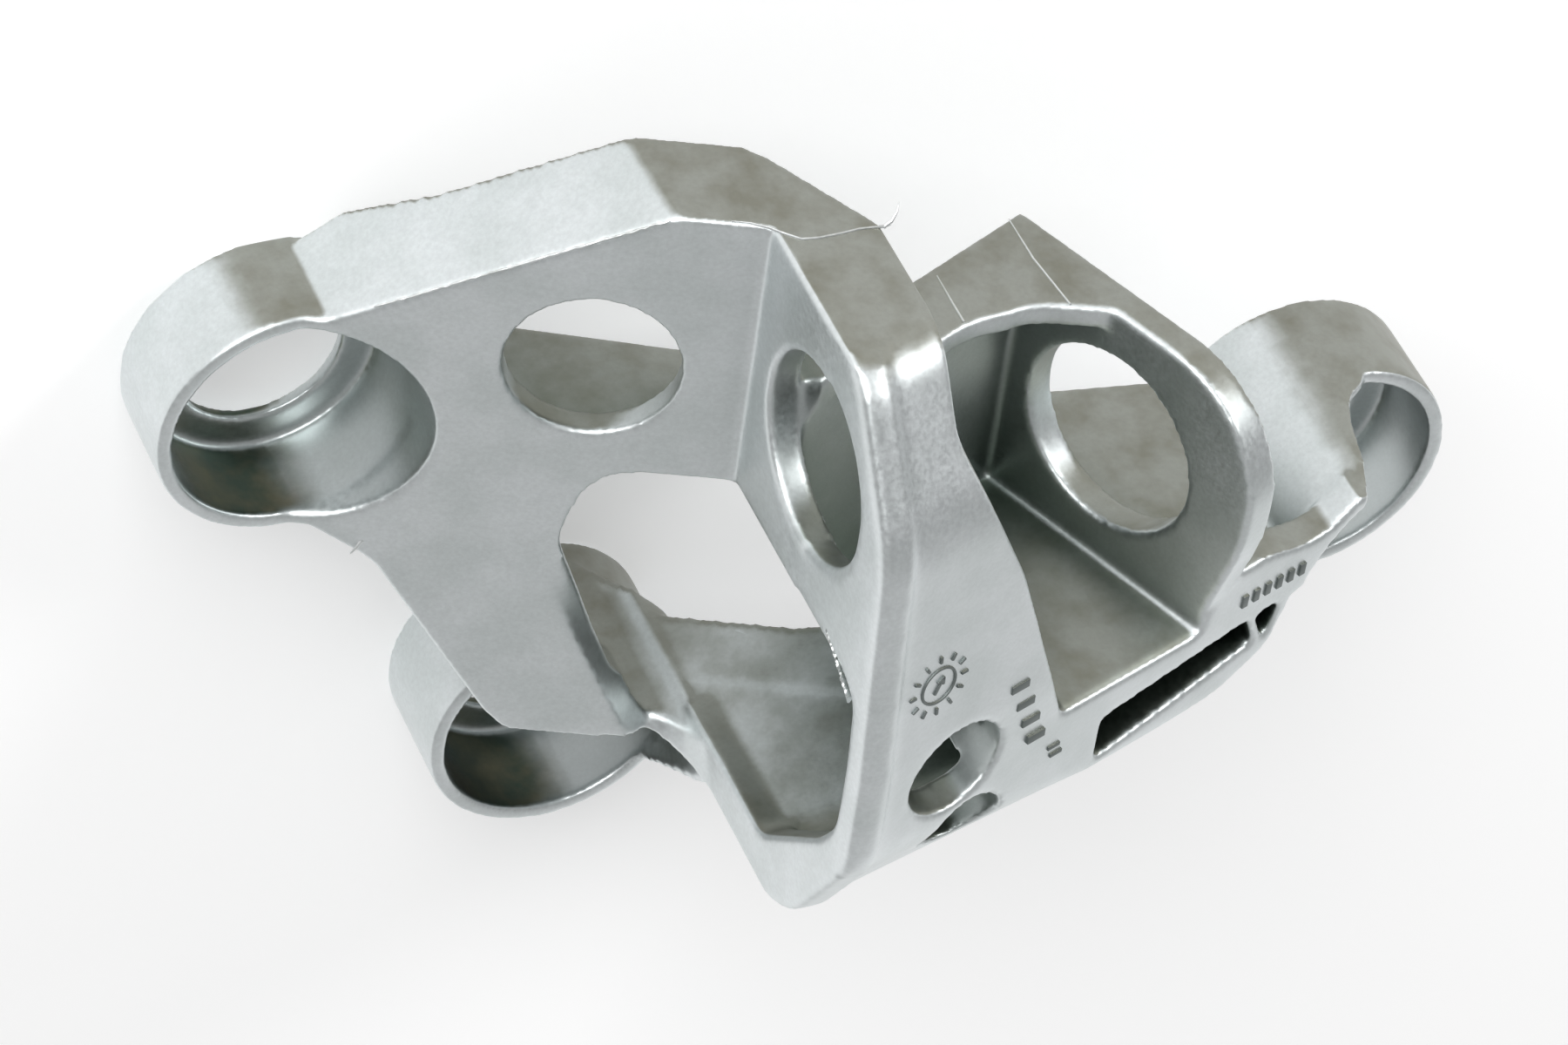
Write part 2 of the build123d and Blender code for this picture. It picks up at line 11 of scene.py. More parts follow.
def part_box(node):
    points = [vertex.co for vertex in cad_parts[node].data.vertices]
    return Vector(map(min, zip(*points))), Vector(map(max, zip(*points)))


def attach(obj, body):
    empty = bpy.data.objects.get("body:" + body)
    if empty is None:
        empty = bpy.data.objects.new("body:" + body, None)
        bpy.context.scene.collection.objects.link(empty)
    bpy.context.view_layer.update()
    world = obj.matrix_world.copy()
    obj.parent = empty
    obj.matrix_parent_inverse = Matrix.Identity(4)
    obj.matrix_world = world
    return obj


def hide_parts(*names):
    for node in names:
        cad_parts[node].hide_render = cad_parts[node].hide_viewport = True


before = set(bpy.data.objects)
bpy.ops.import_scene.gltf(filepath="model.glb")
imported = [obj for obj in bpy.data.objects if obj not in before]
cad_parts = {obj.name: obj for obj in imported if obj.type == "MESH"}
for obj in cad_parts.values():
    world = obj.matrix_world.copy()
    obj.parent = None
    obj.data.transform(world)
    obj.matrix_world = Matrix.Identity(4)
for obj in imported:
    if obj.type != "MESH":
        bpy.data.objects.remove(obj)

log = logging.getLogger("cable_bracket")

# Sizes and places are in millimetres, unless a docstring says otherwise
MM = 0.001
# Three numbers: a place, a direction or a size
Triple = tuple[float, float, float]

NODE = "cable_bracket"
ROOT = "root"

# Level of the face plate over the first boss, and its slope along X
PLATE_LEVEL = 11.7
PLATE_SLOPE = math.radians(23.5)
# Axes of the three mounting bosses with the level of each rim, and the bore that all three share
BOSSES = ((0.0, 0.0, PLATE_LEVEL), (32.1, -52.7, 11.7), (109.2, -24.0, 25.7))
BORE_RADIUS = 12.3
# Material slot of the bore walls, after the casting's own
BORE_SLOT = 1
# Sides of a thin ridge's section, and the angle past which a small piece keeps a sharp edge
RIDGE_SIDES = 8
SHARP_ANGLE = math.radians(40)
# Depth of a raised bar on the roof, half of it sunk, and the rounding of a bar's edges
BAR_DEPTH = 0.5
BAR_ROUND = 0.07

# Sockets of a colour Mix node by number, because their names repeat for each type of data
MIX_SHARE = 0
MIX_FIRST = 6
MIX_SECOND = 7
MIX_COLOUR = 2


def linear(code: str) -> tuple[float, float, float, float]:
    """Turn an sRGB hex colour into linear light.

    Args:
        code: Colour as six hex digits after a hash.

    Returns:
        Red, green, blue and alpha in linear light.
    """
    channels = [int(code[i:i + 2], 16) / 255 for i in (1, 3, 5)]
    curve = [c / 12.92 if c <= 0.04045 else ((c + 0.055) / 1.055) ** 2.4 for c in channels]
    return (curve[0], curve[1], curve[2], 1.0)


def add_node(tree: bpy.types.NodeTree, kind: str, settings: dict | None = None,
             links: dict | None = None) -> bpy.types.Node:
    """Add a shader node, set its values and link its inputs.

    Args:
        tree: Node tree that takes the node.
        kind: Type name of the node.
        settings: Node properties by name, and input values by socket name or number.
        links: Output sockets by the name or number of the input that each feeds.

    Returns:
        The new node.
    """
    node = tree.nodes.new(kind)
    for name, value in (settings or {}).items():
        if isinstance(name, str) and hasattr(node, name):
            setattr(node, name, value)
        else:
            node.inputs[name].default_value = value
    for name, source in (links or {}).items():
        tree.links.new(source, node.inputs[name])
    return node


def plate_height(x: float) -> float:
    """Give the level of the sloping face plate at a place along X."""
    return PLATE_LEVEL + x * math.tan(PLATE_SLOPE)


def deselect_all() -> None:
    """Go back to object mode with nothing selected."""
    if bpy.context.object and bpy.context.object.mode != "OBJECT":
        bpy.ops.object.mode_set(mode="OBJECT")
    bpy.ops.object.select_all(action="DESELECT")


def pick(piece: bpy.types.Object) -> None:
    """Make one piece the only selected and active object.

    Args:
        piece: Object that the next operators act on.
    """
    deselect_all()
    piece.select_set(True)
    bpy.context.view_layer.objects.active = piece


def apply_modifier(piece: bpy.types.Object, kind: str, **settings: object) -> None:
    """Add a modifier to a piece and apply it.

    Args:
        piece: Object that takes the modifier.
        kind: Type name of the modifier.
        settings: Values of the modifier's properties.
    """
    pick(piece)
    modifier = piece.modifiers.new(kind.lower(), kind)
    for name, value in settings.items():
        setattr(modifier, name, value)
    bpy.ops.object.modifier_apply(modifier=modifier.name)


def seat(piece: bpy.types.Object) -> None:
    """Let a piece ride with the casting and take the casting's slot."""
    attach(piece, ROOT)


def settle(piece: bpy.types.Object, skin: bpy.types.Material) -> bpy.types.Object:
    """Bake a piece's place into its mesh, shade it, dress it and let it ride with the casting.

    Args:
        piece: Object in its place.
        skin: Its finish.

    Returns:
        The same piece, with its object at the origin.
    """
    pick(piece)
    bpy.ops.object.transform_apply(location=True, rotation=True, scale=True)
    bpy.ops.object.shade_smooth_by_angle(angle=SHARP_ANGLE)
    piece.data.materials.clear()
    piece.data.materials.append(skin)
    seat(piece)
    return piece


def join(pieces: list[bpy.types.Object], name: str) -> bpy.types.Object:
    """Join pieces into one.

    Args:
        pieces: Objects to join.
        name: Name of the joined piece.

    Returns:
        The joined piece.
    """
    deselect_all()
    for piece in pieces:
        piece.select_set(True)
    bpy.context.view_layer.objects.active = pieces[0]
    bpy.ops.object.join()
    pieces[0].name = name
    return pieces[0]


# Pressure die-cast aluminium has a satin skin: pale on most faces, with brown-grey painted shade on the
# faces that look one way, and dull green-grey painted shade in deep corners
@dataclass(frozen=True)
class CastAluminium:
    """Pressure die-cast aluminium, as cast: a satin grey skin with cloudy patches and a fine grain.

    Faces that look toward the shaded way get a darker, warmer painted shade, which fades
    out where a face turns away, and deep corners get a dull, slightly green painted shade.
    """

    name: str = "die_cast_aluminium"
    body: str = "#e6ebec"
    cloud: str = "#dce2e2"
    # Painted shade, warm brown-grey and patchy, for the faces that look toward the shaded way
    shade_film: str = "#a3a59e"
    shade_film_patch: str = "#8f8f84"
    # Painted shade, dull green-grey, for deep corners
    hollow_shade: str = "#4c5c52"
    roughness: float = 0.40
    metallic: float = 1.0
    # Way that a face with the most painted shade looks, and the cosines between which the painted shade
    # comes in
    shaded_way: Triple = (0.43, 0.84, -0.33)
    shade_start: float = 0.56
    shade_end: float = 0.76
    shade_fray: float = 0.05
    # Light that a hollow loses is judged over this distance; the gain is how much painted shade the
    # deepest gets
    hollow_distance: float = 26.0
    hollow_samples: int = 12
    hollow_range: tuple[float, float] = (0.25, 0.82)
    hollow_shade_gain: float = 0.88
    # Widths of the clouds in the skin and of the patches in the painted shade
    cloud_size: float = 9.0
    cloud_detail: float = 4.0
    cloud_range: tuple[float, float] = (0.38, 0.62)
    patch_size: float = 6.0
    patch_detail: float = 3.0
    patch_range: tuple[float, float] = (0.40, 0.68)
    # The real grain is about 0.1 mm wide: it is drawn five times as coarse, so that it shows
    grain_size: float = 0.5
    grain_detail: float = 2.0
    grain_depth: float = 0.012
    grain_strength: float = 0.6
    grain_brightness: tuple[float, float] = (0.94, 1.04)
    grain_gloss: tuple[float, float] = (-0.04, 0.06)
    # Strength of the finer lumps in all noise, and the part of it that the grain and fray follow
    noise_roughness: float = 0.6
    noise_range: tuple[float, float] = (0.3, 0.7)

    def build(self) -> bpy.types.Material:
        """Make the material.

        Returns:
            A node material on Object coordinates.
        """
        material = bpy.data.materials.new(self.name)
        material.use_nodes = True
        tree = material.node_tree
        tree.nodes.clear()
        place = add_node(tree, "ShaderNodeTexCoord").outputs
        clouds, patches, grain = (
            add_node(
                tree, "ShaderNodeTexNoise",
                {"Scale": 1 / (size * MM), "Detail": detail, "Roughness": self.noise_roughness},
                {"Vector": place["Object"]}).outputs["Fac"]
            for size, detail in (
                (self.cloud_size, self.cloud_detail), (self.patch_size, self.patch_detail),
                (self.grain_size, self.grain_detail)))
        # Painted shade on the faces that look one way, then painted shade in the hollows
        colour = self.shade_hollows(tree, self.lay_shade_film(tree, place["Normal"], clouds, patches))
        low, high = self.noise_range
        speck = add_node(
            tree, "ShaderNodeMapRange",
            {"From Min": low, "From Max": high, "To Min": self.grain_brightness[0],
             "To Max": self.grain_brightness[1]}, {"Value": grain})
        grained = add_node(
            tree, "ShaderNodeVectorMath", {"operation": "SCALE"},
            {0: colour, "Scale": speck.outputs["Result"]})
        gloss = add_node(
            tree, "ShaderNodeMapRange",
            {"From Min": low, "From Max": high, "To Min": self.roughness + self.grain_gloss[0],
             "To Max": self.roughness + self.grain_gloss[1]}, {"Value": grain})
        bump = add_node(
            tree, "ShaderNodeBump",
            {"Strength": self.grain_strength, "Distance": self.grain_depth * MM}, {"Height": grain})
        shader = add_node(
            tree, "ShaderNodeBsdfPrincipled", {"Metallic": self.metallic},
            {"Base Color": grained.outputs[0], "Roughness": gloss.outputs["Result"],
             "Normal": bump.outputs["Normal"]})
        add_node(tree, "ShaderNodeOutputMaterial", {}, {"Surface": shader.outputs["BSDF"]})
        return material

    def lay_shade_film(self, tree: bpy.types.NodeTree, normal: bpy.types.NodeSocket,
                  clouds: bpy.types.NodeSocket, patches: bpy.types.NodeSocket) -> bpy.types.NodeSocket:
        """Lay the patchy painted shade over the clouded skin, on the faces that look toward the shaded
        way.

        Args:
            tree: Node tree of the material.
            normal: The surface's own normal.
            clouds: Noise that clouds the skin and frays the painted shade's edge.
            patches: Noise that makes the painted shade patchy.

        Returns:
            The colour of skin and painted shade.
        """
        cloud_share = add_node(
            tree, "ShaderNodeMapRange",
            {"From Min": self.cloud_range[0], "From Max": self.cloud_range[1]}, {"Value": clouds})
        skin = add_node(
            tree, "ShaderNodeMix",
            {"data_type": "RGBA", MIX_FIRST: linear(self.body), MIX_SECOND: linear(self.cloud)},
            {MIX_SHARE: cloud_share.outputs["Result"]})
        patch_share = add_node(
            tree, "ShaderNodeMapRange",
            {"From Min": self.patch_range[0], "From Max": self.patch_range[1]}, {"Value": patches})
        shade_film = add_node(
            tree, "ShaderNodeMix",
            {"data_type": "RGBA", MIX_FIRST: linear(self.shade_film), MIX_SECOND: linear(self.shade_film_patch)},
            {MIX_SHARE: patch_share.outputs["Result"]})
        return add_node(
            tree, "ShaderNodeMix", {"data_type": "RGBA"},
            {MIX_SHARE: self.shade_film_share(tree, normal, clouds), MIX_FIRST: skin.outputs[MIX_COLOUR],
             MIX_SECOND: shade_film.outputs[MIX_COLOUR]}).outputs[MIX_COLOUR]

    def shade_film_share(self, tree: bpy.types.NodeTree, normal: bpy.types.NodeSocket,
                   clouds: bpy.types.NodeSocket) -> bpy.types.NodeSocket:
        """Work out how much painted shade a face gets from the way it looks.

        Args:
            tree: Node tree of the material.
            normal: The surface's own normal.
            clouds: Noise that frays the painted shade's edge.

        Returns:
            The painted shade's share, from 0 to 1.
        """
        toward = add_node(
            tree, "ShaderNodeVectorMath",
            {"operation": "DOT_PRODUCT", 1: Vector(self.shaded_way).normalized()}, {0: normal})
        fray = add_node(
            tree, "ShaderNodeMapRange",
            {"From Min": self.noise_range[0], "From Max": self.noise_range[1],
             "To Min": -self.shade_fray, "To Max": self.shade_fray}, {"Value": clouds})
        frayed = add_node(
            tree, "ShaderNodeMath", {"operation": "ADD"},
            {0: toward.outputs["Value"], 1: fray.outputs["Result"]})
        return add_node(
            tree, "ShaderNodeMapRange",
            {"interpolation_type": "SMOOTHSTEP", "From Min": self.shade_start,
             "From Max": self.shade_end}, {"Value": frayed.outputs[0]}).outputs["Result"]

    def shade_hollows(self, tree: bpy.types.NodeTree,
                     colour: bpy.types.NodeSocket) -> bpy.types.NodeSocket:
        """Paint shade into a colour where the casting closes round it.

        Args:
            tree: Node tree of the material.
            colour: Colour of an open face.

        Returns:
            The colour, with painted shade in hollows.
        """
        hollow = add_node(
            tree, "ShaderNodeAmbientOcclusion",
            {"samples": self.hollow_samples, "Distance": self.hollow_distance * MM,
             "only_local": True})
        share = add_node(
            tree, "ShaderNodeMapRange",
            {"From Min": self.hollow_range[0], "From Max": self.hollow_range[1],
             "To Min": self.hollow_shade_gain, "To Max": 0.0}, {"Value": hollow.outputs["AO"]})
        return add_node(
            tree, "ShaderNodeMix", {"data_type": "RGBA", MIX_SECOND: linear(self.hollow_shade)},
            {MIX_SHARE: share.outputs["Result"], MIX_FIRST: colour}).outputs[MIX_COLOUR]


# Core-drawn walls are smoother than the skin, so they give clearer reflections; their painted shade is
# dark green, and their hollows get less painted shade
@dataclass(frozen=True)
class DrawnAluminium(CastAluminium):
    """The same casting where a steel core drew out of it: smoother, so it mirrors more."""

    name: str = "core_drawn_aluminium"
    # Dark green painted shade on the bore walls that look toward the shaded way
    shade_film: str = "#4a554b"
    shade_film_patch: str = "#6f6a56"
    roughness: float = 0.33
    shade_start: float = 0.62
    shade_end: float = 0.88
    hollow_shade_gain: float = 0.25
    grain_depth: float = 0.003
    cloud_size: float = 14.0


# Torn flash glitters: it is bare metal with a deeper grain than the skin
@dataclass(frozen=True)
class TrimmedAluminium(CastAluminium):
    """Flash that broke off at the die's edges: torn and bright, with only a pale painted shade on it."""

    name: str = "torn_flash_aluminium"
    body: str = "#eff2f2"
    cloud: str = "#d8dcda"
    # Pale painted shade on the flash's faces that look toward the shaded way
    shade_film: str = "#cfd1cc"
    shade_film_patch: str = "#b6b8b0"
    roughness: float = 0.33
    hollow_shade_gain: float = 0.30
    grain_depth: float = 0.03


# The marks are darker and duller than the skin round them
@dataclass(frozen=True)
class StampedAluminium(CastAluminium):
    """Marks from the die's inserts, darker and duller than the skin."""

    name: str = "die_mark_aluminium"
    body: str = "#8d9392"
    cloud: str = "#7d8482"
    shade_film: str = "#7b7e78"
    roughness: float = 0.55


@dataclass(frozen=True)
class Skins:
    """The finishes that the casting's faces take."""

    face: bpy.types.Material
    bore: bpy.types.Material
    torn: bpy.types.Material
    mark: bpy.types.Material


# Matt paper gives an even pale ground, on which only the casting's soft shadow shows
@dataclass(frozen=True)
class StudioPaper:
    """Seamless studio paper: matt and nearly white.

    Seen directly or in the metal it looks paler than its light alone makes it, and it keeps
    the casting's shadow.
    """

    name: str = "studio_paper"
    colour: str = "#f4f4f4"
    glow_colour: str = "#ffffff"
    roughness: float = 0.5
    lift: float = 0.31

    def build(self) -> bpy.types.Material:
        """Make the material.

        Returns:
            A plain matt material with a faint glow of its own for what looks at it.
        """
        material = bpy.data.materials.new(self.name)
        material.use_nodes = True
        tree = material.node_tree
        tree.nodes.clear()
        paper = add_node(
            tree, "ShaderNodeBsdfDiffuse",
            {"Color": linear(self.colour), "Roughness": self.roughness})
        rays = add_node(tree, "ShaderNodeLightPath").outputs
        seen = add_node(
            tree, "ShaderNodeMath", {"operation": "MAXIMUM"},
            {0: rays["Is Camera Ray"], 1: rays["Is Glossy Ray"]})
        watched = add_node(
            tree, "ShaderNodeMath", {"operation": "MAXIMUM"},
            {0: seen.outputs[0], 1: rays["Is Transmission Ray"]})
        glow_level = add_node(
            tree, "ShaderNodeMath", {"operation": "MULTIPLY", 1: self.lift}, {0: watched.outputs[0]})
        glow = add_node(
            tree, "ShaderNodeEmission", {"Color": linear(self.glow_colour)},
            {"Strength": glow_level.outputs[0]})
        both = add_node(
            tree, "ShaderNodeAddShader", {}, {0: paper.outputs["BSDF"], 1: glow.outputs[0]})
        add_node(tree, "ShaderNodeOutputMaterial", {}, {"Surface": both.outputs[0]})
        return material


@dataclass
class Casting:
    """The casting itself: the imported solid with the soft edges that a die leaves."""

    # Gap under which the solid's loose corners are merged
    weld: float = 0.003
    voxel: float = 0.36
    quick_coarseness: int = 2
    pull: float = 0.5
    smooth_rounds: int = 14
    triangle_limit: int = 190000
    # Box round the edge between the first holder and its roof, which is smoothed again on its own
    brow: tuple[Triple, Triple] = ((38.6, -26.0, 44.0), (45.5, 30.4, 64.0))
    brow_rounds: int = 16
    # How far the bore finish reaches out past the bore's radius, in from it and above the rim
    bore_reach: float = 0.35
    bore_depth: float = 0.5
    rim_rise: float = 0.2
    # Most that the normal of a bore's wall rises or falls
    wall_tilt: float = 0.7

    def build(self, skins: Skins) -> bpy.types.Object:
        """Build the casting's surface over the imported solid.

        Args:
            skins: Finishes of the casting's faces.

        Returns:
            The finished piece, which stands for the CAD node.
        """
        piece = bpy.data.objects.new("casting_body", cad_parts[NODE].data.copy())
        bpy.context.scene.collection.objects.link(piece)
        pick(piece)
        bpy.ops.object.mode_set(mode="EDIT")
        bpy.ops.mesh.select_all(action="SELECT")
        bpy.ops.mesh.remove_doubles(threshold=self.weld * MM)
        bpy.ops.object.mode_set(mode="OBJECT")
        voxel = self.voxel * 1
        apply_modifier(piece, "REMESH", mode="VOXEL", voxel_size=voxel * MM, use_smooth_shade=True)
        apply_modifier(piece, "SMOOTH", factor=self.pull, iterations=self.smooth_rounds)
        self.soften_brow(piece)
        # The remesh leaves faces of four corners, so each is two triangles
        triangles = 2 * len(piece.data.polygons)
        if triangles > self.triangle_limit:
            apply_modifier(piece, "DECIMATE", ratio=self.triangle_limit / triangles)
        pick(piece)
        bpy.ops.object.shade_smooth()
        piece.data.materials.clear()
        piece.data.materials.append(skins.face)
        piece.data.materials.append(skins.bore)
        self.dress_bores(piece)
        seat(piece)
        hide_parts(NODE)
        return piece

    def soften_brow(self, piece: bpy.types.Object) -> None:
        """Round the edge between the first holder and its roof a little more than the rest.

        Args:
            piece: The casting, in object mode.
        """
        low, high = (Vector(corner) * MM for corner in self.brow)
        pick(piece)
        bpy.ops.object.mode_set(mode="EDIT")
        bpy.ops.mesh.select_mode(type="VERT")
        bpy.ops.mesh.select_all(action="DESELECT")
        bpy.ops.object.mode_set(mode="OBJECT")
        for vertex in piece.data.vertices:
            vertex.select = all(a < c < b for a, c, b in zip(low, vertex.co, high))
        bpy.ops.object.mode_set(mode="EDIT")
        bpy.ops.mesh.vertices_smooth(factor=self.pull, repeat=self.brow_rounds)
        bpy.ops.object.mode_set(mode="OBJECT")

    def dress_bores(self, piece: bpy.types.Object) -> None:
        """Give the bores their own finish, from the wall inwards and up to the rim.

        Args:
            piece: The casting, with the bore finish in its second slot.
        """
        reach = (BORE_RADIUS + self.bore_reach) * MM
        inner = (BORE_RADIUS - self.bore_depth) * MM
        for face in piece.data.polygons:
            for x, y, rim in BOSSES:
                radial = Vector((face.center.x - x * MM, face.center.y - y * MM))
                on_wall = radial.length > inner and abs(face.normal.z) < self.wall_tilt
                if radial.length < reach and (on_wall or face.center.z < (rim + self.rim_rise) * MM):
                    face.material_index = BORE_SLOT
                    break


def draw_ridge(name: str, points: list[Vector], radii: list[float],
               skin: bpy.types.Material) -> bpy.types.Object:
    """Draw a thin ridge of metal along points on the casting.

    Args:
        name: Name of the piece.
        points: Its middle line.
        radii: Its half width at each point.
        skin: Its finish.

    Returns:
        The ridge, sunk by half its width.
    """
    deselect_all()
    first = points[1] - points[0]
    bpy.ops.mesh.primitive_circle_add(
        vertices=RIDGE_SIDES, radius=radii[0] * MM, fill_type="NGON", location=points[0] * MM,
        rotation=first.to_track_quat("Z", "Y").to_euler())
    ridge = bpy.context.object
    ridge.name = name
    bpy.ops.object.mode_set(mode="EDIT")
    for before, after, old, new in zip(points, points[1:], radii, radii[1:]):
        bpy.ops.mesh.extrude_region_move(TRANSFORM_OT_translate={"value": (after - before) * MM})
        bpy.ops.transform.resize(value=(new / old,) * 3, center_override=after * MM)
    bpy.ops.mesh.select_all(action="SELECT")
    bpy.ops.mesh.normals_make_consistent(inside=False)
    bpy.ops.object.mode_set(mode="OBJECT")
    return settle(ridge, skin)


@dataclass
class DieTraces:
    """Seams, flash and burrs that the die left where its parts met."""

    seed: int = 7
    # Outer face of the first holder, and of the leaning holder, along Y
    plate_edge: float = 31.0
    flange_face: float = 13.3
    seam_width: float = 0.13
    seam_foot: float = 0.07
    # Torn flash at the first holder's hole: its circle, where it starts and ends in degrees from
    # +Y towards +Z, how far it reaches in, and how it tears
    hole_centre: Triple = (42.9, 14.2, 43.2)
    hole_radius: float = 12.7
    hole_steps: int = 240
    flash_start: float = -100.0
    flash_end: float = -185.0
    flash_inner: float = 0.93
    flash_thickness: float = 0.35
    tear: float = 0.028
    tear_memory: float = 0.7
    tear_sway: float = 0.3
    # Uneven flash along straight edges: its points, how far they stray and how its width varies
    edge_steps: int = 60
    edge_stray: float = 0.06
    edge_spread: tuple[float, float] = (0.5, 1.1)
    edge_tip: float = 0.05

    def build(self, skins: Skins) -> list[bpy.types.Object]:
        """Build every trace.

        Args:
            skins: Finishes of the casting's faces.

        Returns:
            The pieces.
        """
        chance = random.Random(self.seed)
        return [
            self.parting_line(skins.torn), self.whisker(skins.torn), *self.flange_seams(skins.torn),
            self.hole_flash(skins.torn, chance), *self.edge_flash(skins.torn, chance),
            self.burr(skins.torn)]

    def parting_line(self, skin: bpy.types.Material) -> bpy.types.Object:
        """Draw the line where the die halves met, over the outer wall of the first holder.

        Args:
            skin: Its finish.

        Returns:
            The line.
        """
        places = ((36.0, 26.9), (37.6, 27.6), (39.1, 28.7), (40.1, 29.8), (41.4, 31.0), (43.1, 31.3),
                  (45.4, 31.3), (47.2, 31.2), (49.5, 31.5), (50.4, 31.4))
        points = [Vector((x, self.plate_edge, z)) for x, z in places]
        return draw_ridge("parting_line", points, [0.08, 0.1, 0.13] + [0.16] * 6 + [0.12], skin)

    def whisker(self, skin: bpy.types.Material) -> bpy.types.Object:
        """Draw the whisker of flash that stands off the end of the parting line.

        Args:
            skin: Its finish.

        Returns:
            The whisker.
        """
        points = [Vector(p) for p in ((49.6, 30.9, 31.5), (50.5, 31.3, 31.3), (51.2, 31.9, 30.8),
                                      (51.5, 32.6, 30.3))]
        return draw_ridge("whisker_burr", points, [0.2, 0.17, 0.12, 0.05], skin)

    def flange_seams(self, skin: bpy.types.Material) -> list[bpy.types.Object]:
        """Draw the two seams up the outer face of the leaning holder.

        Args:
            skin: Their finish.

        Returns:
            Both seams.
        """
        rows = (((61.6, 22.3), (61.5, 26.0), (61.5, 29.1)),
                ((71.8, 16.8), (71.8, 22.7), (72.3, 27.0), (72.6, 29.7)))
        return [
            draw_ridge(f"flange_seam_{number}", [Vector((x, self.flange_face, z)) for x, z in row],
                       [self.seam_foot] + [self.seam_width] * (len(row) - 1), skin)
            for number, row in enumerate(rows, 1)]

    def hole_arc(self, centre: Vector) -> bpy.types.Object:
        """Draw the stretch of the hole's rear edge on which the flash stands.

        Args:
            centre: Middle of the hole, in metres.

        Returns:
            A bare arc of points, in object mode.
        """
        deselect_all()
        bpy.ops.mesh.primitive_circle_add(
            vertices=self.hole_steps, radius=self.hole_radius * MM, location=centre,
            rotation=(math.radians(90), 0.0, math.radians(90)))
        arc = bpy.context.object
        arc.name = "hole_flash"
        bpy.ops.object.transform_apply(location=True, rotation=True, scale=True)
        bpy.ops.object.mode_set(mode="EDIT")
        bpy.ops.mesh.select_all(action="DESELECT")
        bpy.ops.object.mode_set(mode="OBJECT")
        for vertex in arc.data.vertices:
            arm = vertex.co - centre
            turn = math.degrees(math.atan2(arm.z, arm.y))
            turn -= 360 if turn > 0 else 0
            vertex.select = not self.flash_end <= turn <= self.flash_start
        bpy.ops.object.mode_set(mode="EDIT")
        bpy.ops.mesh.delete(type="VERT")
        bpy.ops.object.mode_set(mode="OBJECT")
        return arc

    def hole_flash(self, skin: bpy.types.Material, chance: random.Random) -> bpy.types.Object:
        """Draw the torn flash round the rear edge of the first holder's hole.

        Args:
            skin: Its finish.
            chance: Seeded source of the tear's outline.

        Returns:
            The flash.
        """
        centre = Vector(self.hole_centre) * MM
        flash = self.hole_arc(centre)
        bpy.ops.object.mode_set(mode="EDIT")
        bpy.ops.mesh.select_all(action="SELECT")
        bpy.ops.mesh.extrude_region_move()
        bpy.ops.transform.resize(
            value=(1.0, self.flash_inner, self.flash_inner), center_override=centre)
        bpy.ops.object.mode_set(mode="OBJECT")
        reach = 0.0
        inner = [v for v in flash.data.vertices if v.select]
        for vertex in sorted(inner, key=lambda v: math.atan2(v.co.z - centre.z, v.co.y - centre.y)):
            reach = self.tear_memory * reach + chance.uniform(-self.tear, self.tear)
            sway = chance.uniform(-self.tear_sway, self.tear_sway) * MM
            arm = vertex.co - centre
            vertex.co = centre + arm * (1.0 + reach) + Vector((sway, 0, 0))
        apply_modifier(flash, "SOLIDIFY", thickness=self.flash_thickness * MM, offset=0.0)
        apply_modifier(flash, "SUBSURF", levels=1, render_levels=1)
        return settle(flash, skin)

    def edge_flash(self, skin: bpy.types.Material, chance: random.Random) -> list[bpy.types.Object]:
        """Draw the uneven flash along the window's edge and the sloping plate's upper edge.

        Args:
            skin: Its finish.
            chance: Seeded source of the uneven width.

        Returns:
            Both lines of flash.
        """
        runs = {
            "window_flash": ((39.5, -0.8, 51.2), (39.5, -4.4, 57.6), 0.30),
            "plate_edge_flash": (
                (6.0, 16.3, plate_height(6.0)), (30.6, 30.75, plate_height(30.6)), 0.17),
        }
        pieces = []
        for name, (start, end, width) in runs.items():
            start, end = Vector(start), Vector(end)
            points = [start.lerp(end, step / self.edge_steps) for step in range(self.edge_steps + 1)]
            points = [
                point + Vector([chance.uniform(-self.edge_stray, self.edge_stray) for _ in range(3)])
                for point in points]
            radii = [width * chance.uniform(*self.edge_spread) for _ in points]
            radii[0] = radii[-1] = self.edge_tip
            pieces.append(draw_ridge(name, points, radii, skin))
        return pieces

    def burr(self, skin: bpy.types.Material) -> bpy.types.Object:
        """Draw the small burr at the sloping plate's lower edge.

        Args:
            skin: Its finish.

        Returns:
            The burr.
        """
        points = [Vector(p) for p in ((6.9, -15.2, 14.5), (6.3, -16.0, 14.6), (5.7, -16.6, 14.7))]
        return draw_ridge("plate_burr", points, [0.25, 0.17, 0.06], skin)


def plain_bar(spot: tuple[float, float], size: Triple, turn: float) -> bpy.types.Object:
    """Make a small bar with rounded edges, flat on the ground at the origin's height.

    Args:
        spot: Its middle.
        size: Its length, width and height.
        turn: Its turn about the vertical, in radians.

    Returns:
        The bar.
    """
    deselect_all()
    bpy.ops.mesh.primitive_cube_add(size=1.0)
    bar = bpy.context.object
    bar.scale = Vector(size) * MM
    bar.rotation_euler = (0.0, 0.0, turn)
    bar.location = (spot[0] * MM, spot[1] * MM, 0.0)
    bpy.ops.object.transform_apply(location=True, rotation=True, scale=True)
    apply_modifier(bar, "BEVEL", width=BAR_ROUND * MM, segments=2)
    return bar


